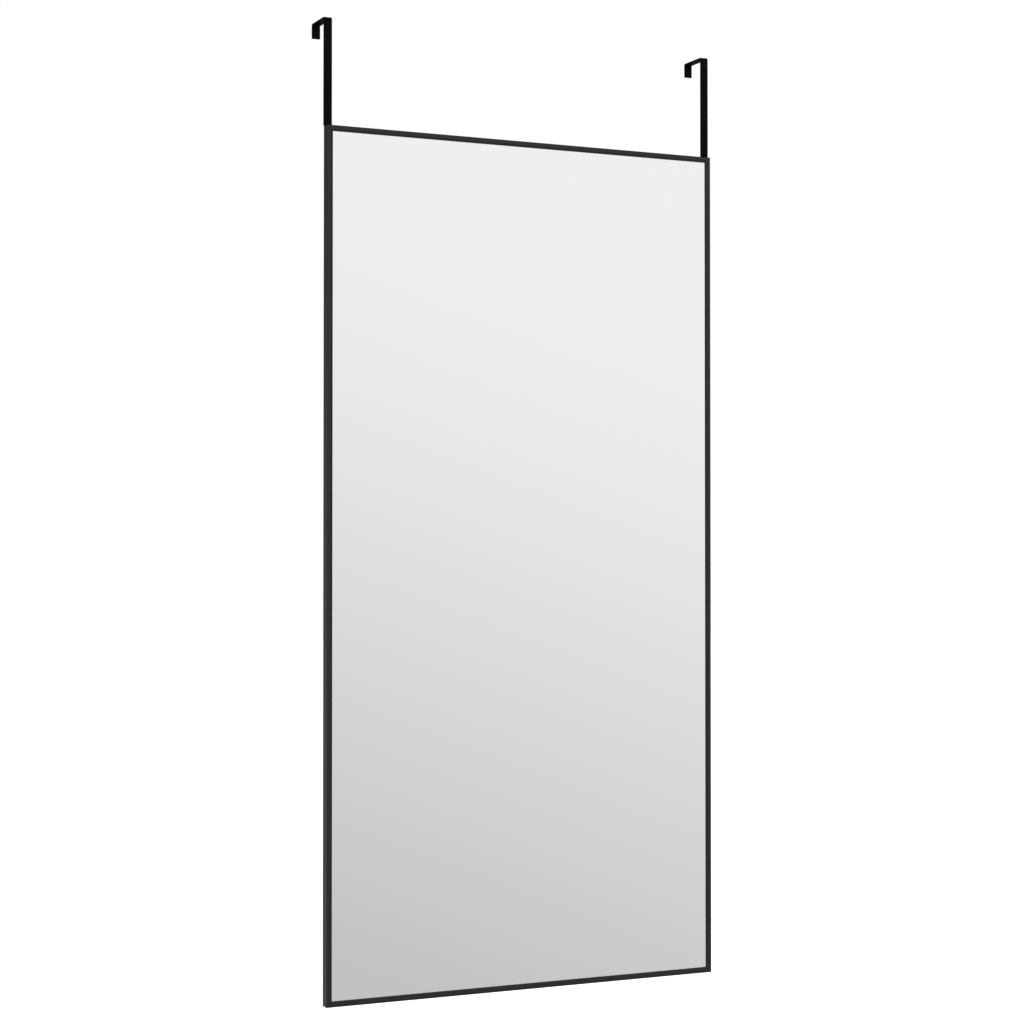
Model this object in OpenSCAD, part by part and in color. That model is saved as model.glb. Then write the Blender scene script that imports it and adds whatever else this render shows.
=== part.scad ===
// Over-the-door mirror: a framed mirror hung from two strip hooks.
// Millimetres, +Z up, the mirror faces -Y. X = 0 is midway between the hooks, Y = 0 is the
// face of the door that the frame's back lies against, and Z = 0 is the door's top edge.

/* [Panel] */
// Overall width of the framed mirror
panel_w = 500; // [300:10:800]
// Overall height of the framed mirror, without the hooks
panel_h = 1000; // [400:10:1400]

/* [Frame extrusion] */
// Width of the face seen from the front
face_w = 6.6; // [5.6:0.2:8.6]
// Width of the bevel along the inner edge of the face
bevel_w = 2.2; // [0.6:0.2:3]
// Fall of that bevel towards the glass
bevel_d = 0.8; // [0.2:0.1:1]
// Thickness of the front lip
front_lip_t = 1.4; // [1.2:0.1:2]
// Thickness of the outer wall
wall_t = 1.2; // [1:0.1:1.8]
// Width of the section at its back
rear_w = 9.5; // [9:0.25:13]
// Thickness of the web between the glazing slot and the rear channel
web_t = 0.9; // [0.7:0.1:1.5]
// Thickness of the inner wall of the rear channel
inner_wall_t = 1; // [0.8:0.1:1.5]
// Thickness of the two lips that close the rear channel
rear_lip_t = 1; // [0.8:0.1:1.6]
// Width of the slot between those lips
slot_w = 4.4; // [4.2:0.1:5]
// Radius along the two outer edges
edge_r = 0.5; // [0.2:0.1:0.9]

/* [Glass, tape and back] */
// Thickness of the mirror glass
glass_t = 3; // [2:0.5:5]
// Free space between the glass edge and the outer wall
glass_gap = 0.8; // [0.4:0.1:1.2]
// Flat grinding of the glass edges
glass_arris = 0.4; // [0.2:0.1:0.8]
// Thickness of the cushion tape behind the front lip
tape_t = 0.4; // [0.2:0.1:1]
// Width of the cushion tape
tape_w = 3; // [2:0.2:4]
// Thickness of the hardboard back
board_t = 2; // [1.5:0.5:4]

/* [Spring clips] */
// Depth that a spring clip fills between the back board and the web
clip_gap = 0.8; // [0.6:0.1:2]
// Thickness of the spring steel
clip_t = 0.3; // [0.2:0.05:0.5]
// Length of a clip along the frame
clip_l = 26; // [16:1:40]
// Width of a clip across the frame
clip_w = 14; // [12:1:22]
// Clips along each upright
clips_upright = 3; // [2:1:6]
// Clips along the top, and along the bottom
clips_rail = 2; // [1:1:4]

/* [Corner plates] */
// Thickness of an L-shaped corner plate
plate_t = 1.6; // [1.2:0.1:2.5]
// Length of each leg
plate_leg = 45; // [38:1:60]
// Play between a leg and the walls of the channel, on each side
plate_play = 0.15; // [0.05:0.05:0.3]

/* [Set screws] */
// Outer diameter of the set screws
screw_d = 4; // [3:0.5:4]
// Radial play of a screw in its threaded hole
screw_play = 0.05; // [0.02:0.01:0.1]
// Distance from the frame's corner to the first screw of a leg
screw_near = 17; // [15:1:20]
// Distance between the two screws of a leg
screw_step = 20; // [10:1:20]
// How far the screw's end lies under the frame's back
screw_sunk = 0.4; // [0.1:0.1:0.8]
// Hexagon socket of the set screws, across flats
socket_af = 2; // [1.5:0.5:2]

/* [Hooks] */
// Width of the steel strip
strip_w = 10; // [9:0.5:16]
// Thickness of the steel strip
strip_t = 2; // [1.5:0.25:3]
// Height of the door's top edge above the frame
hook_rise = 123; // [60:1:200]
// Thickest door leaf that the hooks take
door_t = 35; // [18:1:45]
// Height of the hook's lip behind the door, over its outside
hook_lip_h = 17; // [12:1:40]
// Inside radius of the two bends
bend_r = 0.5; // [0.5:0.25:3]
// Corner radius at the free end of the lip
end_r = 0.6; // [0.4:0.1:2]
// Radius along the strip's long edges
strip_edge_r = 0.4; // [0.2:0.1:0.6]
// Length of the tongue inside the frame
tongue_l = 48; // [42:1:70]
// Play between the tongue and the walls of the channel, on each side
tongue_play = 0.2; // [0.1:0.05:0.4]

/* [Bumpers] */
// How far a bumper stands out behind the frame
bumper_h = 1; // [0.5:0.25:3]
// Length of a bumper's head
bumper_l = 20; // [12:1:40]
// Width of a bumper's head
bumper_w = 8; // [6:0.5:9]
// Radius round the rim of a bumper's head
bumper_rim_r = 0.3; // [0.1:0.1:0.5]
// Height of a bumper's middle above the frame's bottom
bumper_z = 75; // [65:1:150]

/* [Hidden] */
$fn = 48;
// Steps round the small radii that run along a strip or a rim
small_fn = 16;
// Overlap that makes a cut run clean through a wall
cut = 1;
// Space left where a piece only lies beside another
touch = 0.05;
// Depth of the hexagon sockets
socket_d = 1.4;
// Play of a bumper in the rear slot, on each side, and the thickness of the flange behind it
bumper_play = 0.15;
bumper_flange_t = 1;
// Chamfer at the outside corner of a corner plate
plate_chamfer = 2;
// Chamfer at the tongue's lower corners, which leads it into the channel
tongue_chamfer = 1.5;

// Depths into the section, counted from the frame's front face
tape_v = front_lip_t;
glass_v = tape_v + tape_t;
board_v = glass_v + glass_t;
clip_v = board_v + board_t;
web_v = clip_v + clip_gap;
channel_v = web_v + web_t;
channel_d = strip_t + plate_t + 2 * touch;
rear_lip_v = channel_v + channel_d;
frame_d = rear_lip_v + rear_lip_t;

// Distances across the section, counted from the frame's outer face
channel_u = wall_t;
channel_w = rear_w - wall_t - inner_wall_t;
slot_u = channel_u + (channel_w - slot_w) / 2;
screw_u = channel_u + channel_w / 2;
glass_u = wall_t + glass_gap;
leg_u = channel_u + plate_play;
leg_w = channel_w - 2 * plate_play;
tongue_u = channel_u + tongue_play;
tongue_w = channel_w - 2 * tongue_play;
strip_u = tongue_u + tongue_w - strip_w;

// Places in the room
frame_top_z = -hook_rise;
frame_bottom_z = frame_top_z - panel_h;
frame_mid_z = frame_top_z - panel_h / 2;
front_y = -frame_d;
screw_far = screw_near + screw_step;

frame_colour = "#262627";
hook_colour = "#121213";
glass_colour = "#d4d6d7";
board_colour = "#7a5b3d";
tape_colour = "#1b1b1b";
steel_colour = "#a9adb0";
spring_colour = "#8f959b";
rubber_colour = "#1d1d1f";

// ---- Placing ----

// Puts a piece drawn at the top left corner of the frame at the corner that is asked for
module at_corner(right = false, bottom = false) {
    translate([right ? panel_w / 2 : -panel_w / 2, 0, bottom ? frame_bottom_z : frame_top_z])
        mirror([right ? 1 : 0, 0, 0])
        mirror([0, 0, bottom ? 1 : 0])
        children();
}

// Puts a piece drawn along the top rail, its outer face at Z = 0, at one of the four sides
module at_side(side) {
    if (side == "top") translate([0, 0, frame_top_z]) children();
    if (side == "bottom") translate([0, 0, frame_bottom_z]) mirror([0, 0, 1]) children();
    if (side == "left") translate([-panel_w / 2, 0, frame_mid_z]) rotate([0, -90, 0]) children();
    if (side == "right") translate([panel_w / 2, 0, frame_mid_z]) rotate([0, 90, 0]) children();
}

// A box that runs along the top rail: u from the outer face, v from the front face
module rail_box(length, u, v, size_u, size_v) {
    translate([-length / 2, front_y + v, -u - size_u]) cube([length, size_v, size_u]);
}

// ---- Frame ----

// What a radius takes off a square corner at the origin
module corner_cut(radius) {
    difference() {
        translate([-cut, -cut]) square(radius + cut);
        translate([radius, radius]) circle(radius);
    }
}

// The extrusion's section, with x from the outer face and y from the front face
module frame_section() {
    difference() {
        union() {
            square([face_w, front_lip_t]);
            square([wall_t, frame_d]);
            translate([0, web_v]) square([rear_w, web_t]);
            translate([rear_w - inner_wall_t, web_v]) square([inner_wall_t, frame_d - web_v]);
            translate([0, rear_lip_v]) square([slot_u, rear_lip_t]);
            translate([slot_u + slot_w, rear_lip_v]) square([rear_w - slot_u - slot_w, rear_lip_t]);
        }
        polygon([[face_w - bevel_w, 0], [face_w, bevel_d], [face_w + cut, bevel_d], [face_w + cut, -cut],
                 [face_w - bevel_w, -cut]]);
        corner_cut(edge_r);
        translate([0, frame_d]) mirror([0, 1]) corner_cut(edge_r);
    }
}

// The space that a side keeps between its two mitres
module mitre_space(length) {
    reach = rear_w + cut;
    translate([0, cut, 0])
        rotate([90, 0, 0])
        linear_extrude(height = frame_d + 2 * cut)
        polygon([[-length / 2 - cut, cut], [length / 2 + cut, cut],
                 [length / 2 - reach, -reach], [-length / 2 + reach, -reach]]);
}

// One side of the frame, lying as the top rail with its outer face at Z = 0
module frame_side(length) {
    intersection() {
        translate([0, front_y, 0])
            rotate([0, 90, 0])
            linear_extrude(height = length + 2 * cut, center = true)
            frame_section();
        mitre_space(length);
    }
}

// The slot in the top rail's outer wall that a tongue goes down through
module tongue_slot() {
    translate([tongue_u - touch, front_y + channel_v, -wall_t - cut])
        cube([tongue_w + 2 * touch, strip_t + touch, wall_t + 2 * cut]);
}

module top_rail() {
    color(frame_colour)
    difference() {
        at_side("top") frame_side(panel_w);
        at_corner() tongue_slot();
        at_corner(right = true) tongue_slot();
    }
}

module frame_member(side, length) {
    color(frame_colour) at_side(side) frame_side(length);
}

// ---- Corner joints ----

module leg_holes() {
    for (along = [screw_near, screw_far]) {
        translate([along, -screw_u]) circle(screw_d / 2 + screw_play);
        translate([screw_u, -along]) circle(screw_d / 2 + screw_play);
    }
}

// An L-shaped plate in the rear channels, jammed back against the rear lips
module corner_plate(right = false, bottom = false) {
    color(steel_colour)
    at_corner(right, bottom)
    translate([0, -rear_lip_t - touch, 0])
        rotate([90, 0, 0])
        linear_extrude(height = plate_t)
        difference() {
            union() {
                translate([leg_u, -leg_u - leg_w]) square([plate_leg, leg_w]);
                translate([leg_u, -leg_u - plate_leg]) square([leg_w, plate_leg]);
            }
            leg_holes();
            translate([leg_u, -leg_u]) rotate(45) square(plate_chamfer * sqrt(2), center = true);
        }
}

// A set screw that runs forward from under the frame's back until it bears on what lies ahead
module set_screw(length) {
    translate([0, -screw_sunk, 0])
        rotate([90, 0, 0])
        difference() {
            cylinder(h = length, d = screw_d);
            translate([0, 0, -cut]) cylinder(h = socket_d + cut, d = socket_af / cos(30), $fn = 6);
        }
}

// A pair of set screws along one leg of a corner plate
module rail_screws(length) {
    for (along = [screw_near, screw_far]) translate([along, 0, -screw_u]) set_screw(length);
}

module upright_screws(length) {
    for (along = [screw_near, screw_far]) translate([screw_u, 0, -along]) set_screw(length);
}

module corner_screws() {
    to_web = frame_d - channel_v - screw_sunk;
    color(steel_colour) {
        for (right = [false, true]) {
            at_corner(right) rail_screws(to_web);
            at_corner(right, bottom = true) rail_screws(to_web);
            at_corner(right, bottom = true) upright_screws(to_web);
        }
    }
}

// ---- Glass, tape and back ----

// The mirror pane, its edges ground off at 45 degrees on both faces
module mirror_glass() {
    w = panel_w - 2 * glass_u;
    h = panel_h - 2 * glass_u;
    color(glass_colour)
    translate([0, front_y + glass_v + glass_t, frame_mid_z])
        rotate([90, 0, 0])
        intersection() {
            linear_extrude(height = glass_t) square([w, h], center = true);
            translate([0, h / 2, 0]) rotate([90, 0, 0]) linear_extrude(height = h) arris_section(w);
            translate([-w / 2, 0, 0]) rotate([90, 0, 90]) linear_extrude(height = w) arris_section(h);
        }
}

// A slab's section with its four corners cut off
module arris_section(width) {
    far = width / 2;
    near = far - glass_arris;
    polygon([[-near, 0], [near, 0], [far, glass_arris], [far, glass_t - glass_arris], [near, glass_t],
             [-near, glass_t], [-far, glass_t - glass_arris], [-far, glass_arris]]);
}

module back_board() {
    w = panel_w - 2 * glass_u;
    h = panel_h - 2 * glass_u;
    color(board_colour)
    translate([-w / 2, front_y + board_v, frame_mid_z - h / 2]) cube([w, board_t, h]);
}

// Foam tape between the front lip and the glass: the uprights' strips run the full height
module cushion_tape(side) {
    length = (side == "left" || side == "right")
        ? panel_h - 2 * glass_u
        : panel_w - 2 * (glass_u + tape_w);
    color(tape_colour) at_side(side) rail_box(length, glass_u, tape_v, tape_w, tape_t);
}

// ---- Spring clips ----

// A strip of spring steel bent twice: its flat middle bears on the back board, its ends on the web
module spring_clip() {
    far = clip_l / 2;
    near = clip_l / 6;
    low = touch;
    high = clip_gap - touch;
    translate([0, front_y + clip_v, -glass_u - clip_w])
        linear_extrude(height = clip_w)
        polygon([[-far, high - clip_t], [-near, low], [near, low], [far, high - clip_t], [far, high],
                 [near, low + clip_t], [-near, low + clip_t], [-far, high]]);
}

module clip_row(count, length) {
    step = length / count;
    for (i = [0 : count - 1]) translate([(i - (count - 1) / 2) * step, 0, 0]) spring_clip();
}

module spring_clips() {
    color(spring_colour) {
        for (side = ["left", "right"]) at_side(side) clip_row(clips_upright, panel_h);
        for (side = ["top", "bottom"]) at_side(side) clip_row(clips_rail, panel_w);
    }
}

// ---- Hooks ----

// The strip's cross-section, with x through its thickness and y across its width
module strip_section() {
    difference() {
        square([strip_t, strip_w]);
        for (x = [0, 1], y = [0, 1])
            translate([x * strip_t, y * strip_w])
                mirror([x, 0])
                mirror([0, y])
                corner_cut(strip_edge_r, $fn = small_fn);
    }
}

// A straight run of strip that hangs down from the origin, drawn from the side
module strip_run(length) {
    rotate([90, 0, 0]) linear_extrude(height = length) strip_section();
}

// A quarter turn of the strip round the origin, from straight right to straight up
module strip_bend() {
    rotate_extrude(angle = 90) translate([bend_r, 0]) strip_section();
}

// The whole strip seen from the side, with x into the door and y up, its width along z
module strip_form() {
    strip_y = front_y + channel_v;
    inside_y = strip_y + strip_t;
    strap_bottom = frame_top_z - tongue_l;
    lip_bottom = strip_t - hook_lip_h;
    translate([strip_y, -bend_r, 0]) strip_run(-bend_r - strap_bottom);
    translate([inside_y + bend_r, -bend_r, 0]) rotate(90) strip_bend();
    translate([inside_y + bend_r, 0, 0]) rotate(90) strip_run(door_t - inside_y - 2 * bend_r);
    translate([door_t - bend_r, -bend_r, 0]) strip_bend();
    translate([door_t, -bend_r, 0]) strip_run(-bend_r - lip_bottom);
}

// The strip seen from behind the door: its full width, round at the lip's free corners
module lip_outline() {
    lip_bottom = strip_t - hook_lip_h;
    translate([0, lip_bottom + end_r]) square([strip_w, strip_t + hook_lip_h]);
    translate([end_r, lip_bottom]) square([strip_w - 2 * end_r, strip_t + hook_lip_h]);
    for (x = [end_r, strip_w - end_r]) translate([x, lip_bottom + end_r]) circle(end_r);
}

// A hook with its tongue, drawn at the top left corner of the frame
module hook(right = false) {
    color(hook_colour)
    translate([right ? panel_w / 2 : -panel_w / 2, 0, 0])
        mirror([right ? 1 : 0, 0, 0])
        difference() {
            translate([strip_u, 0, 0]) rotate([90, 0, 90]) strip_form();
            translate([strip_u, door_t + strip_t + cut, 0])
                rotate([90, 0, 0])
                linear_extrude(height = strip_t + 2 * cut)
                difference() {
                    translate([-cut, -hook_lip_h]) square([strip_w + 2 * cut, hook_lip_h]);
                    lip_outline();
                }
            // The outer shoulder, which rests on the frame, leaves the narrower tongue
            translate([strip_u - cut, front_y, frame_top_z - tongue_l - cut])
                cube([tongue_u - strip_u + cut, frame_d, tongue_l + cut]);
            // The lead-in at the tongue's lower corners
            for (x = [tongue_u, tongue_u + tongue_w])
                translate([x, front_y + channel_v - cut, frame_top_z - tongue_l])
                    rotate([-90, 0, 0])
                    linear_extrude(height = strip_t + 2 * cut)
                    rotate(45)
                    square(tongue_chamfer * sqrt(2), center = true);
        }
}

// The short set screws that press each tongue against the web
module hook_screws() {
    to_tongue = rear_lip_t + plate_t + 2 * touch - screw_sunk;
    color(steel_colour)
    for (right = [false, true]) at_corner(right) upright_screws(to_tongue);
}

// ---- Bumpers ----

// A slab with two round ends, standing upright behind the frame, made from half its section
module stadium() {
    straight = bumper_l - bumper_w;
    rotate([90, 0, 0]) {
        for (z = [-straight / 2, straight / 2]) translate([0, z, 0]) rotate_extrude() children();
        translate([0, straight / 2, 0])
            rotate([90, 0, 0])
            linear_extrude(height = straight) {
                children();
                mirror([1, 0]) children();
            }
    }
}

// Half the section of a bumper's head, with x from its middle and y from the face on the door
module half_head() {
    difference() {
        square([bumper_w / 2, bumper_h]);
        translate([bumper_w / 2, 0]) mirror([1, 0]) corner_cut(bumper_rim_r, $fn = small_fn);
    }
}

// A rubber bumper buttoned into the rear slot of an upright
module bumper(right = false) {
    stem_t = rear_lip_t + touch;
    color(rubber_colour)
    at_corner(right, bottom = true)
    translate([screw_u, 0, -bumper_z]) {
        translate([0, bumper_h, 0]) stadium() half_head();
        stadium() square([slot_w / 2 - bumper_play, stem_t]);
        translate([0, -stem_t, 0]) stadium() square([channel_w / 2 - bumper_play, bumper_flange_t]);
    }
}

top_rail();  // frame_top
frame_member("bottom", panel_w);  // frame_bottom
frame_member("left", panel_h);  // frame_left
frame_member("right", panel_h);  // frame_right
corner_plate();  // corner_plate_top_left
corner_plate(right = true);  // corner_plate_top_right
corner_plate(bottom = true);  // corner_plate_bottom_left
corner_plate(right = true, bottom = true);  // corner_plate_bottom_right
corner_screws();
mirror_glass();
back_board();
cushion_tape("top");  // cushion_tape_top
cushion_tape("bottom");  // cushion_tape_bottom
cushion_tape("left");  // cushion_tape_left
cushion_tape("right");  // cushion_tape_right
spring_clips();
hook();  // hook_left
hook(right = true);  // hook_right
hook_screws();
bumper();  // bumper_left
bumper(right = true);  // bumper_right
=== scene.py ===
"""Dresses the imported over-the-door mirror: finishes for its solids, threaded set screws and the studio.

Metres, in the frame of the CAD: X = 0 midway between the hooks, Y = 0 the face of the door, Z = 0 the
top edge of the door, and the mirror faces -Y.
"""

import math

import bmesh
import bpy
from bpy.props import FloatProperty, FloatVectorProperty, IntProperty, PointerProperty
from bpy.types import NodeSocket, Operator, Panel, PropertyGroup
from mathutils import Matrix, Vector


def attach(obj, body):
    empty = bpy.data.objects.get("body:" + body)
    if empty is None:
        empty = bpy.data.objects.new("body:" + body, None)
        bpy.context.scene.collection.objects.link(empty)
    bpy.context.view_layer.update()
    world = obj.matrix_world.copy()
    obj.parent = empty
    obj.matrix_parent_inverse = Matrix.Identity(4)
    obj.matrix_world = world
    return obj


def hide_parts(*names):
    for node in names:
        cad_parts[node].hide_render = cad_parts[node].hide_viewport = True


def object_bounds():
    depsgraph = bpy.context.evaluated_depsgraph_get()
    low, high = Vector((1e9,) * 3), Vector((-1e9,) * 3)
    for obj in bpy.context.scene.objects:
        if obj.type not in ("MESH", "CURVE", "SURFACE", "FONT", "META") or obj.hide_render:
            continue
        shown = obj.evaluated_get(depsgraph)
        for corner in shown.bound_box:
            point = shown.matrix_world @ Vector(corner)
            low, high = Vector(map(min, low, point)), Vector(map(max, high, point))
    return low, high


bl_info = {
    "name": "Over-the-door mirror",
    "version": (1, 0, 0),
    "blender": (4, 5, 0),
    "location": "3D View > Sidebar > Mirror",
    "description": "Finishes, set screws and studio for a framed mirror that hangs on a door",
    "category": "Object",
}

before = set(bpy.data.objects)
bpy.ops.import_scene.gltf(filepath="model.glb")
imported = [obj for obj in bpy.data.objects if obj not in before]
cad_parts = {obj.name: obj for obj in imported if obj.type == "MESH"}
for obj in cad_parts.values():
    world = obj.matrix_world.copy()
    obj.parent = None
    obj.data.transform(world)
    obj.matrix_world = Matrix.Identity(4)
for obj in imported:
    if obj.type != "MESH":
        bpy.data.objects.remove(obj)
CAD_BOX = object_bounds()

MM = 0.001
WHITE = (1.0, 1.0, 1.0, 1.0)

# Each side of the frame and the axis that its bar runs along
FRAME_SIDES = {"frame_left": "Z", "frame_right": "Z", "frame_top": "X", "frame_bottom": "X"}
HOOKS = ("hook_left", "hook_right")
CORNER_PLATES = (
    "corner_plate_top_left",
    "corner_plate_top_right",
    "corner_plate_bottom_left",
    "corner_plate_bottom_right",
)
CUSHION_TAPES = (
    "cushion_tape_top",
    "cushion_tape_bottom",
    "cushion_tape_left",
    "cushion_tape_right",
)
SCREW_NODES = ("corner_screws", "hook_screws")
BUMPERS = ("bumper_left", "bumper_right")

# Noise stays mostly between these two values, so a pattern is spread from there
NOISE_RANGE = {"From Min": 0.35, "From Max": 0.65}
# The scale that draws a pattern out 300 times, for a bar along X and for one along Z
DRAWN_OUT = {"X": (1 / 300, 1, 1), "Z": (1, 1, 1 / 300)}
# How far the colour of a rubbed edge covers the finish
EDGE_WEAR = 0.5

# Points of a screw that are nearer than this are one point
SAME_PLACE = 0.001 * MM
# A cut takes in the points that are nearer to it than this, so that it leaves no slivers
CUT_SNAP = 0.005 * MM
# Width of the cup in a screw's tip, as a share of the tip
CUP_SHARE = 0.5

# The way up the tent, and its brightness from its foot (0) to its top (1): a grey foot, a fade and a
# white roof
TENT_UP = (0.32, 0.15, 0.935)
TENT_STOPS = ((0.0, 0.38), (0.4, 0.6), (0.52, 0.905), (0.57, 0.965), (0.75, 0.98))
# Black flags round the tent. Each is a product of fades: the axis of the direction, where the fade starts
# and ends along it, and how dark it is there
FLAGS = (
    # In front on the right, which keeps the inner edge of the frame's left side dark
    (("Y", -0.1, -0.35, 0.0, 1.0), ("X", 0.66, 0.82, 0.0, 0.8), ("Z", -0.3, -0.05, 0.3, 1.0)),
    # Behind on the left, which darkens the frame's outer side towards its top
    (("Y", 0.68, 0.8, 0.0, 1.0), ("X", 0.15, -0.1, 0.0, 1.0), ("Z", -0.25, 0.2, 0.38, 0.88)),
    # Low behind on the right, which keeps the undersides of the hooks black
    (("Y", 0.68, 0.8, 0.0, 1.0), ("X", -0.1, 0.15, 0.0, 1.0), ("Z", 0.15, -0.1, 0.0, 0.9)),
    # Overhead, which darkens the top rail
    (("Z", 0.28, 0.55, 0.0, 0.5),),
)


# ---- Colour and node helpers ----


def linear(hex_code):
    """An sRGB hex colour as the linear RGBA that Blender works in."""
    parts = [int(hex_code[i : i + 2], 16) / 255 for i in (1, 3, 5)]
    return tuple(c / 12.92 if c <= 0.04045 else ((c + 0.055) / 1.055) ** 2.4 for c in parts) + (1.0,)


def add_node(tree, kind, inputs=None, output=0, **settings):
    """Adds one node with its settings and links, and returns one of its outputs.

    inputs maps a socket's name or number to a value or to the output that feeds it.
    """
    made = tree.nodes.new("ShaderNode" + kind)
    for name, value in settings.items():
        setattr(made, name, value)
    for key, value in (inputs or {}).items():
        if isinstance(value, NodeSocket):
            tree.links.new(value, made.inputs[key])
        else:
            made.inputs[key].default_value = value
    return made.outputs[output] if made.outputs else None


def new_material(name):
    """An empty material, its node tree and the place on the object in metres."""
    material = bpy.data.materials.new(name)
    material.use_nodes = True
    tree = material.node_tree
    tree.nodes.clear()
    return material, tree, add_node(tree, "TexCoord", output="Object")


def rounded_edges(tree, radius):
    """The normal with every sharp edge eased by radius, and how far it leans there, from 0 to 1."""
    eased = add_node(tree, "Bevel", {"Radius": radius}, samples=6)
    flat = add_node(tree, "NewGeometry", output="True Normal")
    along = add_node(tree, "VectorMath", {0: eased, 1: flat}, "Value", operation="DOT_PRODUCT")
    # The normals' cosines at 11 degrees, where an edge begins to show, and at 41, where it is full
    edge = add_node(tree, "MapRange", {"Value": along, "From Min": 0.98, "From Max": 0.75})
    return eased, edge


# ---- Finishes ----


def anodised_extrusion(name, along, radius, colours):
    """Black anodised aluminium, extruded: satin black, with faint die lines along the bar."""
    material, tree, place = new_material(name)
    # Real die lines are 0.05 to 0.2 mm apart; these are 0.9 mm apart, so that a step away shows them
    drawn = add_node(tree, "Mapping", {"Vector": place, "Scale": DRAWN_OUT[along]})
    lines = add_node(tree, "TexNoise", {"Vector": drawn, "Scale": 1 / (0.9 * MM), "Detail": 3.0})
    # Etching before the bath leaves a fine tooth, about 0.25 mm across
    tooth = add_node(tree, "TexNoise", {"Vector": place, "Scale": 1 / (0.25 * MM)})
    # The dye takes a little unevenly over some 60 mm of bar
    cloud = add_node(tree, "TexNoise", {"Vector": place, "Scale": 1 / (60 * MM), "Detail": 1.0})
    eased, edge = rounded_edges(tree, radius)
    cloudy = add_node(tree, "Math", {0: cloud, 1: 0.4}, operation="MULTIPLY")
    shade = add_node(tree, "Math", {0: lines, 1: 0.6, 2: cloudy}, operation="MULTIPLY_ADD")
    tint = add_node(tree, "MapRange", {"Value": shade, **NOISE_RANGE})
    dye = {"Factor": tint, "A": colours.frame_dark, "B": colours.frame_light}
    dyed = add_node(tree, "Mix", dye, "Result", data_type="RGBA")
    worn = add_node(tree, "Math", {0: edge, 1: EDGE_WEAR}, operation="MULTIPLY")
    handling = {"Factor": worn, "A": dyed, "B": colours.frame_edge}
    handled = add_node(tree, "Mix", handling, "Result", data_type="RGBA")
    # Handling also polishes the edges a little
    satin = add_node(tree, "MapRange", {"Value": lines, **NOISE_RANGE, "To Min": 0.21, "To Max": 0.29})
    gloss = add_node(tree, "Math", {0: edge, 1: -0.05, 2: satin}, operation="MULTIPLY_ADD")
    etched = add_node(tree, "Bump", {"Height": tooth, "Distance": 0.006 * MM, "Normal": eased})
    scored = add_node(tree, "Bump", {"Height": lines, "Distance": 0.02 * MM, "Normal": etched})
    finish = {
        "Base Color": handled,
        "IOR": 1.5,
        "Specular IOR Level": 0.41,
        "Roughness": gloss,
        "Normal": scored,
    }
    add_node(tree, "OutputMaterial", {"Surface": add_node(tree, "BsdfPrincipled", finish)})
    return material


def powder_coat(name, radius, colours):
    """Powder-coated steel strip: dead black, with the fine orange peel that the melted powder leaves, its
    crests painted a shade lighter as a painted highlight.
    """
    material, tree, place = new_material(name)
    # Orange peel has a wave of about 1.5 mm, and single grains of powder show at 0.3 mm
    peel = add_node(tree, "TexNoise", {"Vector": place, "Scale": 1 / (1.5 * MM), "Detail": 1.0})
    grains = add_node(tree, "TexNoise", {"Vector": place, "Scale": 1 / (0.3 * MM)})
    eased, edge = rounded_edges(tree, radius)
    # Painted highlight: the crests of the orange peel are painted a shade lighter than its hollows
    tint = add_node(tree, "MapRange", {"Value": peel, **NOISE_RANGE})
    coat = {"Factor": tint, "A": colours.hook_dark, "B": colours.hook_crest_painted_highlight}
    coated = add_node(tree, "Mix", coat, "Result", data_type="RGBA")
    worn = add_node(tree, "Math", {0: edge, 1: EDGE_WEAR}, operation="MULTIPLY")
    rubbing = {"Factor": worn, "A": coated, "B": colours.hook_edge}
    rubbed = add_node(tree, "Mix", rubbing, "Result", data_type="RGBA")
    gloss = add_node(tree, "MapRange", {"Value": grains, **NOISE_RANGE, "To Min": 0.34, "To Max": 0.46})
    grainy = add_node(tree, "Bump", {"Height": grains, "Distance": 0.008 * MM, "Normal": eased})
    peeled = add_node(tree, "Bump", {"Height": peel, "Distance": 0.03 * MM, "Normal": grainy})
    finish = {
        "Base Color": rubbed,
        "IOR": 1.5,
        "Specular IOR Level": 0.05,
        "Roughness": gloss,
        "Normal": peeled,
    }
    add_node(tree, "OutputMaterial", {"Surface": add_node(tree, "BsdfPrincipled", finish)})
    return material


def silvered_glass(name, colours):
    """Silvered float glass: a clear, faintly cool reflection, and green glass on its ground edges."""
    material, tree, place = new_material(name)
    # Wiping leaves an uneven film in streaks some 90 mm long; it only shows where light grazes it
    wiped = add_node(tree, "Mapping", {"Vector": place, "Scale": (1 / 3, 1, 1)})
    streaks = {"Vector": wiped, "Scale": 1 / (30 * MM), "Detail": 4.0, "Roughness": 0.6}
    film = {"From Min": 0.3, "From Max": 0.8, "To Min": 0.006, "To Max": 0.02}
    haze = add_node(tree, "MapRange", {"Value": add_node(tree, "TexNoise", streaks), **film})
    # Only the pane's two broad sides face along Y: its arrises lean by 45 degrees
    facing = add_node(tree, "SeparateXYZ", {0: place.node.outputs["Normal"]}, "Y")
    squarely = add_node(tree, "Math", {0: facing}, operation="ABSOLUTE")
    edge = add_node(tree, "Math", {0: squarely, 1: 0.9}, operation="LESS_THAN")
    silver = add_node(tree, "Math", {0: 1.0, 1: edge}, operation="SUBTRACT")
    tint = {"Factor": edge, "A": colours.silver, "B": colours.glass_edge}
    tinted = add_node(tree, "Mix", tint, "Result", data_type="RGBA")
    # The arrises are ground with 220 grit, which leaves them matte
    gloss = add_node(tree, "Math", {0: edge, 1: 0.4, 2: haze}, operation="MULTIPLY_ADD")
    finish = {"Base Color": tinted, "Metallic": silver, "Roughness": gloss}
    add_node(tree, "OutputMaterial", {"Surface": add_node(tree, "BsdfPrincipled", finish)})
    return material


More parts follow.
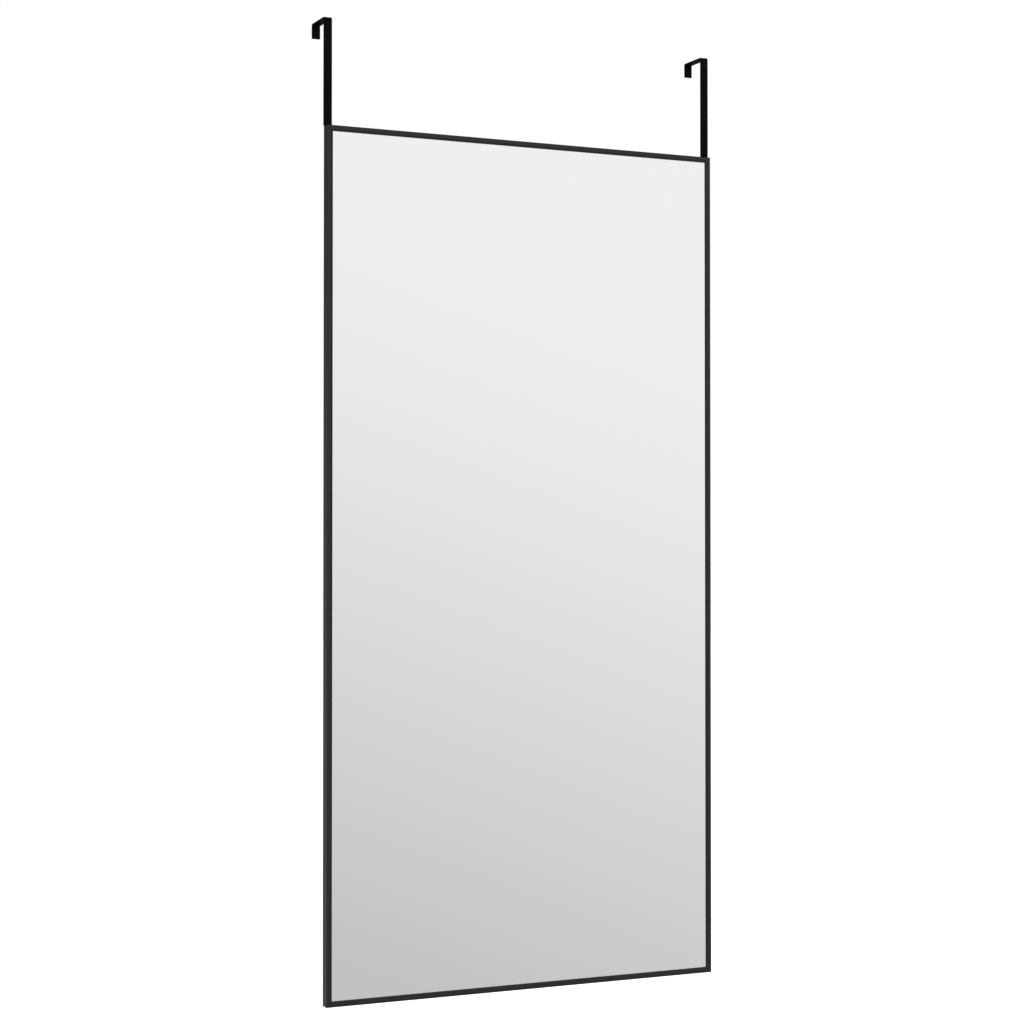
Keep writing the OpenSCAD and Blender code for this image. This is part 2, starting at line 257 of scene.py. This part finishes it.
def hardboard(name, sizes, colours):
    """Hardboard with its screen side out: brown pressed fibres under the print of the wire screen, whose
    dents carry painted shade.
    """
    material, tree, place = new_material(name)
    axes = add_node(tree, "SeparateXYZ", {0: place}).node.outputs
    turn = 2 * math.pi / sizes.screen_pitch
    screen = 1.0
    for axis in ("X", "Z"):
        angle = add_node(tree, "Math", {0: axes[axis], 1: turn}, operation="MULTIPLY")
        wave = add_node(tree, "Math", {0: angle}, operation="SINE")
        screen = add_node(tree, "Math", {0: wave, 1: screen}, operation="MULTIPLY")
    # Fibres show as flecks about 1.5 mm wide and three times as long, in two directions
    felt = {"Detail": 3.0, "Roughness": 0.65}
    up = add_node(tree, "Mapping", {"Vector": place, "Scale": (1, 1, 1 / 3)})
    across = add_node(tree, "Mapping", {"Vector": place, "Scale": (1 / 3, 1, 1)})
    flecks_up = add_node(tree, "TexNoise", {"Vector": up, "Scale": 1 / (1.6 * MM), **felt})
    flecks_across = add_node(tree, "TexNoise", {"Vector": across, "Scale": 1 / (1.9 * MM), **felt})
    flecks = add_node(tree, "Math", {0: flecks_up, 1: flecks_across}, operation="MAXIMUM")
    # The pulp settles in faint clouds of 10 to 40 mm
    pulp = {"Vector": place, "Scale": 1 / (25 * MM), "Detail": 3.0, "Roughness": 0.55}
    cloud = add_node(tree, "MapRange", {"Value": add_node(tree, "TexNoise", pulp), **NOISE_RANGE})
    clouds = {"Factor": cloud, "A": colours.board_dark_pulp_and_dent_shade, "B": colours.board_light}
    board = add_node(tree, "Mix", clouds, "Result", data_type="RGBA")
    # Only the strongest flecks show as pale fibres
    strong = {"Value": flecks, "From Min": 0.55, "From Max": 0.75, "To Max": 0.55}
    fibres = {"Factor": add_node(tree, "MapRange", strong), "A": board, "B": colours.board_fleck}
    fibrous = add_node(tree, "Mix", fibres, "Result", data_type="RGBA")
    # The screen's dents are painted a little darker than the board between them: painted shade in the dents
    dents = add_node(tree, "MapRange", {"Value": screen, "From Min": -1.0})
    shade = add_node(tree, "Math", {0: dents, 1: 0.16}, operation="MULTIPLY")
    screen_dents_painted_shade = {"Factor": shade, "A": fibrous, "B": colours.board_dark_pulp_and_dent_shade}
    pressed = add_node(tree, "Mix", screen_dents_painted_shade, "Result", data_type="RGBA")
    gloss = add_node(tree, "MapRange", {"Value": flecks, **NOISE_RANGE, "To Min": 0.62, "To Max": 0.8})
    felted = add_node(tree, "Bump", {"Height": flecks, "Distance": 0.12 * MM})
    dented = add_node(tree, "Bump", {"Height": dents, "Distance": 0.18 * MM, "Normal": felted})
    finish = {"Base Color": pressed, "Roughness": gloss, "Normal": dented}
    add_node(tree, "OutputMaterial", {"Surface": add_node(tree, "BsdfPrincipled", finish)})
    return material


def zinc_plate(name, radius, colours):
    """Zinc-plated steel: grey metal with a soft sheen and a trace of yellow and blue from passivation."""
    material, tree, place = new_material(name)
    # The passivation's tint drifts over some 9 mm
    drift = add_node(tree, "TexNoise", {"Vector": place, "Scale": 1 / (9 * MM)})
    # Rolling marks run along the sheet about 0.4 mm apart
    drawn = add_node(tree, "Mapping", {"Vector": place, "Scale": (1 / 30, 1, 1)})
    rolled = add_node(tree, "TexNoise", {"Vector": drawn, "Scale": 1 / (0.4 * MM)})
    eased, edge = rounded_edges(tree, radius)
    tint = add_node(tree, "MapRange", {"Value": drift, **NOISE_RANGE})
    plating = {"Factor": tint, "A": colours.zinc_cool, "B": colours.zinc_warm}
    plated = add_node(tree, "Mix", plating, "Result", data_type="RGBA")
    # The tumbling before the bath leaves the edges a little brighter
    sheen = add_node(tree, "MapRange", {"Value": rolled, **NOISE_RANGE, "To Min": 0.32, "To Max": 0.44})
    gloss = add_node(tree, "Math", {0: edge, 1: -0.08, 2: sheen}, operation="MULTIPLY_ADD")
    marked = add_node(tree, "Bump", {"Height": rolled, "Distance": 0.01 * MM, "Normal": eased})
    finish = {"Base Color": plated, "Metallic": 1.0, "Roughness": gloss, "Normal": marked}
    add_node(tree, "OutputMaterial", {"Surface": add_node(tree, "BsdfPrincipled", finish)})
    return material


def spring_steel(name, radius, colours):
    """Hardened spring steel, rolled bright: darker and smoother than zinc, with straw-brown temper."""
    material, tree, place = new_material(name)
    # The temper's tint drifts over some 14 mm
    drift = add_node(tree, "TexNoise", {"Vector": place, "Scale": 1 / (14 * MM)})
    # Rolling marks run up the strip about 0.5 mm apart
    drawn = add_node(tree, "Mapping", {"Vector": place, "Scale": (1, 1, 1 / 40)})
    rolled = add_node(tree, "TexNoise", {"Vector": drawn, "Scale": 1 / (0.5 * MM)})
    eased, edge = rounded_edges(tree, radius)
    tint = add_node(tree, "MapRange", {"Value": drift, **NOISE_RANGE})
    temper = {"Factor": tint, "A": colours.spring_bright, "B": colours.spring_straw}
    tempered = add_node(tree, "Mix", temper, "Result", data_type="RGBA")
    sheen = add_node(tree, "MapRange", {"Value": rolled, **NOISE_RANGE, "To Min": 0.24, "To Max": 0.36})
    gloss = add_node(tree, "Math", {0: edge, 1: -0.05, 2: sheen}, operation="MULTIPLY_ADD")
    marked = add_node(tree, "Bump", {"Height": rolled, "Distance": 0.008 * MM, "Normal": eased})
    finish = {"Base Color": tempered, "Metallic": 1.0, "Roughness": gloss, "Normal": marked}
    add_node(tree, "OutputMaterial", {"Surface": add_node(tree, "BsdfPrincipled", finish)})
    return material


def foam(name, colours):
    """Closed-cell foam tape: dull black, pitted with cells, whose hollows carry painted shade."""
    material, tree, place = new_material(name)
    # Cells of such tape are 0.3 to 0.8 mm across
    cells = add_node(tree, "TexVoronoi", {"Vector": place, "Scale": 1 / (0.6 * MM)}, "Distance")
    # Painted shade: the middle of each cell is painted darker than its walls, as if shade lay in the pit
    wall = add_node(tree, "MapRange", {"Value": cells, "From Max": 0.7})
    painted_pit_shade = {"Factor": wall, "A": colours.foam_pit_painted_shade, "B": colours.foam_skin}
    pitted = add_node(tree, "Mix", painted_pit_shade, "Result", data_type="RGBA")
    pits = add_node(tree, "Bump", {"Height": cells, "Distance": 0.1 * MM})
    finish = {"Base Color": pitted, "Roughness": 0.93, "Normal": pits}
    add_node(tree, "OutputMaterial", {"Surface": add_node(tree, "BsdfPrincipled", finish)})
    return material


def moulded_rubber(name, radius, colours):
    """Moulded rubber: matte black with the tooth of a blasted mould and a breath of grey bloom."""
    material, tree, place = new_material(name)
    # Blasting leaves a tooth about 0.35 mm across in the mould, and the bloom comes in patches of 7 mm
    tooth = add_node(tree, "TexNoise", {"Vector": place, "Scale": 1 / (0.35 * MM)})
    bloom = add_node(tree, "TexNoise", {"Vector": place, "Scale": 1 / (7 * MM), "Detail": 3.0})
    eased, edge = rounded_edges(tree, radius)
    tint = add_node(tree, "MapRange", {"Value": bloom, **NOISE_RANGE})
    breath = {"Factor": tint, "A": colours.rubber_dark, "B": colours.rubber_bloom}
    bloomed = add_node(tree, "Mix", breath, "Result", data_type="RGBA")
    matte = add_node(tree, "MapRange", {"Value": bloom, **NOISE_RANGE, "To Min": 0.55, "To Max": 0.72})
    gloss = add_node(tree, "Math", {0: edge, 1: -0.08, 2: matte}, operation="MULTIPLY_ADD")
    blasted = add_node(tree, "Bump", {"Height": tooth, "Distance": 0.02 * MM, "Normal": eased})
    finish = {"Base Color": bloomed, "Roughness": gloss, "Normal": blasted}
    add_node(tree, "OutputMaterial", {"Surface": add_node(tree, "BsdfPrincipled", finish)})
    return material


def studio_paper(name, colours):
    """Seamless studio paper: pale and matte, with the faint cloud of its pulp."""
    material, tree, place = new_material(name)
    # The pulp clouds over some 400 mm
    pulp = add_node(tree, "TexNoise", {"Vector": place, "Scale": 1 / (400 * MM), "Detail": 3.0})
    tint = add_node(tree, "MapRange", {"Value": pulp, **NOISE_RANGE})
    cloud = {"Factor": tint, "A": colours.floor, "B": colours.floor_cloud}
    finish = {
        "Base Color": add_node(tree, "Mix", cloud, "Result", data_type="RGBA"),
        "Roughness": 0.9,
        "Specular IOR Level": 0.2,
        "Emission Color": WHITE,
        "Emission Strength": 0.8,
    }
    add_node(tree, "OutputMaterial", {"Surface": add_node(tree, "BsdfPrincipled", finish)})
    return material


def dress(names, material):
    """Gives CAD nodes their finish."""
    for name in names:
        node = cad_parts[name]
        node.data.materials.clear()
        node.data.materials.append(material)


# ---- Threaded set screws ----


def merged_copy(name):
    """A CAD node's mesh as a bmesh with its loose triangles joined."""
    made = bmesh.new()
    made.from_mesh(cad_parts[name].data)
    bmesh.ops.remove_doubles(made, verts=made.verts, dist=SAME_PLACE)
    return made


def solids_of(name):
    """The lowest and highest corner of each separate solid of a CAD node."""
    merged = merged_copy(name)
    waiting = set(merged.verts)
    boxes = []
    while waiting:
        found = [waiting.pop()]
        # The list grows while it is walked, until it holds every point that edges join to the first
        for here in found:
            for edge in here.link_edges:
                other = edge.other_vert(here)
                if other in waiting:
                    waiting.remove(other)
                    found.append(other)
        low = Vector(min(v.co[i] for v in found) for i in range(3))
        high = Vector(max(v.co[i] for v in found) for i in range(3))
        boxes.append((low, high))
    merged.free()
    boxes.sort(key=lambda box: tuple(round(c, 5) for c in box[0]))
    return boxes


def points_of(made):
    """The points among what an operator made."""
    return [part for part in made["geom"] if isinstance(part, bmesh.types.BMVert)]


def edges_of(made):
    """The edges among what an operator made."""
    return [part for part in made["geom"] if isinstance(part, bmesh.types.BMEdge)]


def rim_of(screw, height):
    """The open edges of a screw that lie at this height."""
    return [
        edge
        for edge in screw.edges
        if edge.is_boundary and all(abs(v.co.z - height) < SAME_PLACE for v in edge.verts)
    ]


def threaded_screw(sizes, radius, length):
    """A set screw along Z from 0, its socket at the top: the thread is one groove spun up a helix."""
    pitch, root = sizes.thread_pitch, radius - sizes.thread_depth
    screw = bmesh.new()
    # One pitch of the thread's outline, by its radius and its share of the pitch: crest, flank, root, flank
    outline = ((radius, 0.0), (radius, 0.15), (root, 0.45), (root, 0.7), (radius, 1.0))
    points = [screw.verts.new((out, 0, (share - 1) * pitch)) for out, share in outline]
    chain = [screw.edges.new(pair) for pair in zip(points, points[1:])]
    # One turn more at each end, which the cuts take off
    turns = math.ceil(length / pitch) + 2
    bmesh.ops.spin(
        screw,
        geom=points + chain,
        cent=(0, 0, 0),
        axis=(0, 0, 1),
        dvec=(0, 0, pitch / sizes.thread_steps),
        angle=2 * math.pi * turns,
        steps=sizes.thread_steps * turns,
    )
    bmesh.ops.remove_doubles(screw, verts=screw.verts, dist=SAME_PLACE)
    for height, way in ((0, -1), (length, 1)):
        bmesh.ops.bisect_plane(
            screw,
            geom=screw.verts[:] + screw.edges[:] + screw.faces[:],
            dist=CUT_SNAP,
            plane_co=(0, 0, height),
            plane_no=(0, 0, way),
            use_snap_center=True,
            clear_outer=True,
        )
    # The tip ends in a shallow cup, which bites into what it presses on
    tip = bmesh.ops.extrude_edge_only(screw, edges=rim_of(screw, 0))
    bmesh.ops.scale(screw, vec=(CUP_SHARE, CUP_SHARE, 1), verts=points_of(tip))
    cup = bmesh.ops.contextual_create(screw, geom=edges_of(tip))
    bottom = bmesh.ops.poke(screw, faces=cup["faces"])
    bmesh.ops.translate(screw, vec=(0, 0, sizes.cup_depth), verts=bottom["verts"])
    # The flat end round the hexagon socket, which is sunk and closed with a drill point
    rim = rim_of(screw, length)
    corner = sizes.socket_flats / 2 / math.cos(math.pi / 6)
    hexagon = bmesh.ops.create_circle(screw, cap_ends=False, segments=6, radius=corner)
    bmesh.ops.translate(screw, vec=(0, 0, length), verts=hexagon["verts"])
    mouth = [edge for edge in screw.edges if edge.is_wire]
    bmesh.ops.triangle_fill(screw, use_beauty=True, edges=rim + mouth, normal=(0, 0, 1))
    sunk = bmesh.ops.extrude_edge_only(screw, edges=mouth)
    bmesh.ops.translate(screw, vec=(0, 0, -sizes.socket_depth), verts=points_of(sunk))
    closed = bmesh.ops.contextual_create(screw, geom=edges_of(sunk))
    drilled = bmesh.ops.poke(screw, faces=closed["faces"])
    bmesh.ops.translate(screw, vec=(0, 0, -corner / 2), verts=drilled["verts"])
    bmesh.ops.recalc_face_normals(screw, faces=screw.faces)
    if not all(edge.is_manifold for edge in screw.edges):
        raise RuntimeError("a set screw came out open")
    # The operators leave the faces in another order each run, so they are put in their points' order
    screw.verts.index_update()
    in_order = sorted(screw.faces, key=lambda face: [vert.index for vert in face.verts])
    for index, face in enumerate(in_order):
        face.index = index
    screw.faces.sort()
    return screw


def screw_set(node_name, sizes):
    """Threaded screws in one mesh, one in each place where the CAD node has a plain one."""
    whole = bmesh.new()
    for low, high in solids_of(node_name):
        radius, length = (high.x - low.x) / 2, high.y - low.y
        screw = threaded_screw(sizes, radius, length)
        # Z of the screw turns to the door: its socket faces back, its tip forward
        middle = (low + high) / 2
        place = Matrix.Translation((middle.x, low.y, middle.z)) @ Matrix.Rotation(-math.pi / 2, 4, "X")
        bmesh.ops.transform(screw, matrix=place, verts=screw.verts)
        part = bpy.data.meshes.new("one_screw")
        screw.to_mesh(part)
        screw.free()
        whole.from_mesh(part)
        bpy.data.meshes.remove(part)
    mesh = bpy.data.meshes.new(node_name + "_threaded")
    whole.to_mesh(mesh)
    whole.free()
    return mesh


# ---- Settings ----


def colour_setting(name, description, hex_code):
    """A colour that the user can change."""
    return FloatVectorProperty(
        name=name,
        description=description,
        subtype="COLOR",
        size=4,
        min=0.0,
        max=1.0,
        default=linear(hex_code),
    )


def length_setting(name, description, default):
    """A length in metres that the user can change."""
    return FloatProperty(
        name=name, description=description, default=default, unit="LENGTH", precision=5
    )


def place_setting(name, description, default):
    """A place in metres that the user can change."""
    return FloatVectorProperty(
        name=name, description=description, default=default, subtype="XYZ", unit="LENGTH"
    )


class MirrorSizes(PropertyGroup):
    """Real sizes of the fine detail"""

    frame_edge: length_setting("Frame edges", "Radius of the frame's sharp edges", 0.35 * MM)
    hook_edge: length_setting("Hook edges", "Radius of the hooks' sharp edges", 0.25 * MM)
    plate_edge: length_setting("Plate edges", "Radius of the corner plates' edges", 0.2 * MM)
    clip_edge: length_setting("Clip edges", "Radius of the spring clips' edges", 0.1 * MM)
    screw_edge: length_setting("Screw edges", "Radius of the set screws' edges", 0.05 * MM)
    bumper_edge: length_setting("Bumper edges", "Radius of the bumpers' edges", 0.3 * MM)
    # A real screen has a wire every 1.6 to 2.5 mm; 3 mm is the finest that shows from a step away
    screen_pitch: length_setting("Screen", "Pitch of the wires that marked the hardboard", 3.0 * MM)
    thread_pitch: length_setting("Thread pitch", "Rise of the M4 thread in one turn", 0.7 * MM)
    thread_depth: length_setting("Thread depth", "Depth of the thread's groove", 0.4 * MM)
    thread_steps: IntProperty(
        name="Thread steps", description="Steps in one turn of the thread", default=24, min=8, max=64
    )
    socket_flats: length_setting("Socket", "Hexagon socket across its flats", 2.0 * MM)
    socket_depth: length_setting("Socket depth", "Depth of the hexagon socket", 1.3 * MM)
    cup_depth: length_setting("Cup", "Depth of the cup in the screw's tip", 0.35 * MM)


class MirrorColours(PropertyGroup):
    """Colours of every finish"""

    frame_dark: colour_setting("Frame", "Black anodised aluminium", "#090909")
    frame_light: colour_setting("Frame, pale", "Where the dye is thinner", "#101011")
    frame_edge: colour_setting("Frame edges", "Edges that handling has rubbed", "#161617")
    hook_dark: colour_setting("Hooks", "Black powder coat", "#030303")
    # Painted highlight on the crests of the orange peel
    hook_crest_painted_highlight: colour_setting("Hooks, pale", "High spots of the powder coat", "#060606")
    hook_edge: colour_setting("Hook edges", "Edges that the door has rubbed", "#0e0e0f")
    silver: colour_setting("Silvering", "What the mirror reflects white as", "#f3f3f3")
    glass_edge: colour_setting("Glass edge", "Ground edge of the float glass", "#7ea08f")
    # Dark pulp, and also the painted shade in the screen's dents
    board_dark_pulp_and_dent_shade: colour_setting("Hardboard, dark", "Dark pulp of the back", "#70512f")
    board_light: colour_setting("Hardboard, light", "Light pulp of the back", "#795736")
    board_fleck: colour_setting("Hardboard flecks", "Fibres at the surface", "#a78257")
    zinc_cool: colour_setting("Zinc", "Plated plates and screws", "#aeb4ba")
    zinc_warm: colour_setting("Zinc, warm", "Yellow trace in the plating", "#bfb9a8")
    spring_bright: colour_setting("Spring steel", "Bright side of the clips", "#9a9c9e")
    spring_straw: colour_setting("Spring steel, temper", "Straw tint from hardening", "#8d8270")
    foam_skin: colour_setting("Foam", "Skin of the cushion tape", "#1c1c1d")
    # Painted shade: the colour painted into the middle of each cell
    foam_pit_painted_shade: colour_setting("Foam pits", "Open cells of the cushion tape", "#0b0b0b")
    rubber_dark: colour_setting("Rubber", "Bumpers", "#161618")
    rubber_bloom: colour_setting("Rubber bloom", "Grey bloom on the bumpers", "#242427")
    floor: colour_setting("Floor", "Studio paper", "#f4f4f4")
    floor_cloud: colour_setting("Floor, cloud", "Faint cloud in the paper", "#f0f0f0")


class MirrorStage(PropertyGroup):
    """Camera, light and floor"""

    camera_place: place_setting("Camera", "Where the camera stands", (-1.1025, -2.3432, -0.6052))
    camera_turn: FloatProperty(
        name="Camera turn",
        description="How far the camera turns to the right of the mirror's normal",
        subtype="ANGLE",
        default=math.radians(24.934),
    )
    camera_tilt: FloatProperty(
        name="Camera tilt",
        description="How far the camera looks up",
        subtype="ANGLE",
        default=math.radians(0.972),
    )
    lens: FloatProperty(
        name="Lens", description="Focal length", unit="CAMERA", default=76.78, min=1.0
    )
    floor_depth: length_setting("Floor", "How far the floor lies under the door's top edge", 2.03)
    floor_reach: length_setting("Floor reach", "Length of the floor's sides", 60.0)
    light_size: length_setting("Light size", "Width of each soft light", 2.0)
    key_place: place_setting("Key light", "Where the front light stands", (-2.2, -3.2, 1.6))
    key_power: FloatProperty(
        name="Key power", description="Power of the light over the front", default=90.0, unit="POWER"
    )
    back_place: place_setting("Back light", "Where the rear light stands", (1.8, 3.4, 1.4))
    back_power: FloatProperty(
        name="Back power", description="Power of the light behind", default=70.0, unit="POWER"
    )


class MirrorSettings(PropertyGroup):
    """Everything that the panel shows"""

    sizes: PointerProperty(type=MirrorSizes, name="Sizes", description="Sizes of the fine detail")
    colours: PointerProperty(type=MirrorColours, name="Colours", description="Colours of the finishes")
    stage: PointerProperty(type=MirrorStage, name="Stage", description="Camera, light and floor")


def settings_of(context):
    """The scene's settings."""
    return context.scene.door_mirror


# ---- Operators ----


class MIRROR_OT_frame(Operator):
    """Give the four frame sides their anodised finish"""

    bl_idname = "mirror.frame"
    bl_label = "Finish the frame"

    def execute(self, context):
        settings = settings_of(context)
        for along in ("X", "Z"):
            name = "black_anodised_aluminium_along_" + along
            finish = anodised_extrusion(name, along, settings.sizes.frame_edge, settings.colours)
            dress([side for side, axis in FRAME_SIDES.items() if axis == along], finish)
        return {"FINISHED"}


class MIRROR_OT_hooks(Operator):
    """Give the two hooks their powder coat"""

    bl_idname = "mirror.hooks"
    bl_label = "Finish the hooks"

    def execute(self, context):
        settings = settings_of(context)
        dress(HOOKS, powder_coat("black_powder_coated_steel", settings.sizes.hook_edge, settings.colours))
        return {"FINISHED"}


class MIRROR_OT_pane(Operator):
    """Silver the mirror pane"""

    bl_idname = "mirror.pane"
    bl_label = "Silver the pane"

    def execute(self, context):
        dress(("mirror_glass",), silvered_glass("silvered_float_glass", settings_of(context).colours))
        return {"FINISHED"}


class MIRROR_OT_back(Operator):
    """Finish the hardboard back"""

    bl_idname = "mirror.back"
    bl_label = "Finish the back board"

    def execute(self, context):
        settings = settings_of(context)
        dress(("back_board",), hardboard("screen_backed_hardboard", settings.sizes, settings.colours))
        return {"FINISHED"}


class MIRROR_OT_tapes(Operator):
    """Finish the four strips of cushion tape"""

    bl_idname = "mirror.tapes"
    bl_label = "Finish the cushion tape"

    def execute(self, context):
        dress(CUSHION_TAPES, foam("closed_cell_foam", settings_of(context).colours))
        return {"FINISHED"}


class MIRROR_OT_clips(Operator):
    """Finish the spring clips"""

    bl_idname = "mirror.clips"
    bl_label = "Finish the spring clips"

    def execute(self, context):
        settings = settings_of(context)
        finish = spring_steel("bright_spring_steel", settings.sizes.clip_edge, settings.colours)
        dress(("spring_clips",), finish)
        return {"FINISHED"}


class MIRROR_OT_plates(Operator):
    """Plate the four corner plates"""

    bl_idname = "mirror.plates"
    bl_label = "Plate the corner plates"

    def execute(self, context):
        settings = settings_of(context)
        finish = zinc_plate("zinc_plated_steel_sheet", settings.sizes.plate_edge, settings.colours)
        dress(CORNER_PLATES, finish)
        return {"FINISHED"}


class MIRROR_OT_screws(Operator):
    """Cut a thread and a socket on every set screw, in the places of the plain ones"""

    bl_idname = "mirror.screws"
    bl_label = "Make the set screws"

    def execute(self, context):
        settings = settings_of(context)
        finish = zinc_plate("zinc_plated_screw_steel", settings.sizes.screw_edge, settings.colours)
        for name in SCREW_NODES:
            mesh = screw_set(name, settings.sizes)
            if not mesh.polygons:
                raise RuntimeError("no screws were made for " + name)
            mesh.materials.append(finish)
            piece = bpy.data.objects.new(name + "_threaded", mesh)
            context.scene.collection.objects.link(piece)
            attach(piece, "root")
            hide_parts(name)
        return {"FINISHED"}


class MIRROR_OT_bumpers(Operator):
    """Finish the two rubber bumpers"""

    bl_idname = "mirror.bumpers"
    bl_label = "Finish the bumpers"

    def execute(self, context):
        settings = settings_of(context)
        dress(BUMPERS, moulded_rubber("moulded_rubber", settings.sizes.bumper_edge, settings.colours))
        return {"FINISHED"}


def add_area_light(scene, name, place, target, size, power):
    """A square soft light that only the object's finishes see."""
    data = bpy.data.lights.new(name, "AREA")
    data.shape = "SQUARE"
    data.size = size
    data.energy = power
    lamp = bpy.data.objects.new(name, data)
    scene.collection.objects.link(lamp)
    lamp.location = place
    lamp.rotation_euler = (target - Vector(place)).to_track_quat("-Z", "Y").to_euler()
    lamp.visible_camera = False
    lamp.visible_glossy = False


def surround(world):
    """White walls for the camera; for the object, a tent that is brightest above and dims to one side.

    The mirror shows what stands before it, so the tent's fall from white to grey is its whole picture.
    """
    world.use_nodes = True
    tree = world.node_tree
    tree.nodes.clear()
    way = add_node(tree, "TexCoord", output="Generated")
    # The tent's light falls along a line that leans a little to the right of straight up
    lean = add_node(tree, "VectorMath", {0: way, 1: TENT_UP}, "Value", operation="DOT_PRODUCT")
    height = add_node(tree, "MapRange", {"Value": lean, "From Min": -1.0})
    cloth = add_node(tree, "ValToRGB", {"Fac": height})
    stops = cloth.node.color_ramp.elements
    for index, (at, bright) in enumerate(TENT_STOPS):
        # A new ramp has two stops already
        stop = stops[index] if index < 2 else stops.new(at)
        stop.position = at
        stop.color = (bright, bright, bright, 1.0)
    axes = add_node(tree, "SeparateXYZ", {0: way}).node.outputs
    strength = 1.0
    for fades in FLAGS:
        dark = 1.0
        for axis, start, end, dark_at_start, dark_at_end in fades:
            reach = {"From Min": start, "From Max": end, "To Min": dark_at_start, "To Max": dark_at_end}
            fade = add_node(tree, "MapRange", {"Value": axes[axis], **reach})
            dark = add_node(tree, "Math", {0: fade, 1: dark}, operation="MULTIPLY")
        lit = add_node(tree, "Math", {0: 1.0, 1: dark}, operation="SUBTRACT")
        strength = add_node(tree, "Math", {0: lit, 1: strength}, operation="MULTIPLY")
    tent = add_node(tree, "Background", {"Color": cloth, "Strength": strength})
    walls = add_node(tree, "Background", {"Color": WHITE})
    seen = add_node(tree, "LightPath", output="Is Camera Ray")
    both = add_node(tree, "MixShader", {0: seen, 1: tent, 2: walls})
    add_node(tree, "OutputWorld", {"Surface": both})


class MIRROR_OT_stage(Operator):
    """Set up the floor, the light and the camera"""

    bl_idname = "mirror.stage"
    bl_label = "Set the stage"

    def execute(self, context):
        settings = settings_of(context)
        stage, scene = settings.stage, context.scene
        sheet = bmesh.new()
        bmesh.ops.create_grid(sheet, x_segments=1, y_segments=1, size=stage.floor_reach / 2)
        bmesh.ops.translate(sheet, vec=(0, 0, -stage.floor_depth), verts=sheet.verts)
        mesh = bpy.data.meshes.new("studio_floor")
        sheet.to_mesh(mesh)
        sheet.free()
        mesh.materials.append(studio_paper("seamless_studio_paper", settings.colours))
        floor = bpy.data.objects.new("studio_floor", mesh)
        scene.collection.objects.link(floor)
        floor.visible_glossy = False

        middle = (CAD_BOX[0] + CAD_BOX[1]) / 2
        lamps = (
            ("key_light", stage.key_place, stage.key_power),
            ("back_light", stage.back_place, stage.back_power),
        )
        for name, place, power in lamps:
            add_area_light(scene, name, place, middle, stage.light_size, power)
        scene.world = bpy.data.worlds.new("studio_tent")
        surround(scene.world)

        data = bpy.data.cameras.new("photo_camera")
        data.lens = stage.lens
        data.sensor_width = 36.0
        data.clip_end = 200.0
        camera = bpy.data.objects.new("photo_camera", data)
        scene.collection.objects.link(camera)
        camera.location = stage.camera_place
        camera.rotation_euler = (math.pi / 2 + stage.camera_tilt, 0, -stage.camera_turn)
        scene.camera = camera
        scene.view_settings.view_transform = "Standard"
        return {"FINISHED"}


OPERATORS = (
    MIRROR_OT_frame,
    MIRROR_OT_hooks,
    MIRROR_OT_pane,
    MIRROR_OT_back,
    MIRROR_OT_tapes,
    MIRROR_OT_clips,
    MIRROR_OT_plates,
    MIRROR_OT_screws,
    MIRROR_OT_bumpers,
    MIRROR_OT_stage,
)


class MIRROR_PT_panel(Panel):
    """Lists the steps and their settings"""

    bl_idname = "MIRROR_PT_panel"
    bl_label = "Over-the-door mirror"
    bl_space_type = "VIEW_3D"
    bl_region_type = "UI"
    bl_category = "Mirror"

    def draw(self, context):
        settings = settings_of(context)
        for operator in OPERATORS:
            self.layout.operator(operator.bl_idname)
        for group in (settings.sizes, settings.colours, settings.stage):
            box = self.layout.box()
            for name in group.__annotations__:
                box.prop(group, name)


CLASSES = (MirrorSizes, MirrorColours, MirrorStage, MirrorSettings) + OPERATORS + (MIRROR_PT_panel,)


def register():
    """Adds the classes and the scene's settings."""
    for one in CLASSES:
        bpy.utils.register_class(one)
    bpy.types.Scene.door_mirror = PointerProperty(type=MirrorSettings)


def unregister():
    """Takes them away again."""
    del bpy.types.Scene.door_mirror
    for one in reversed(CLASSES):
        bpy.utils.unregister_class(one)


def main():
    register()
    for operator in OPERATORS:
        getattr(bpy.ops.mirror, operator.bl_idname.split(".")[1])()


if __name__ == "__main__":
    main()
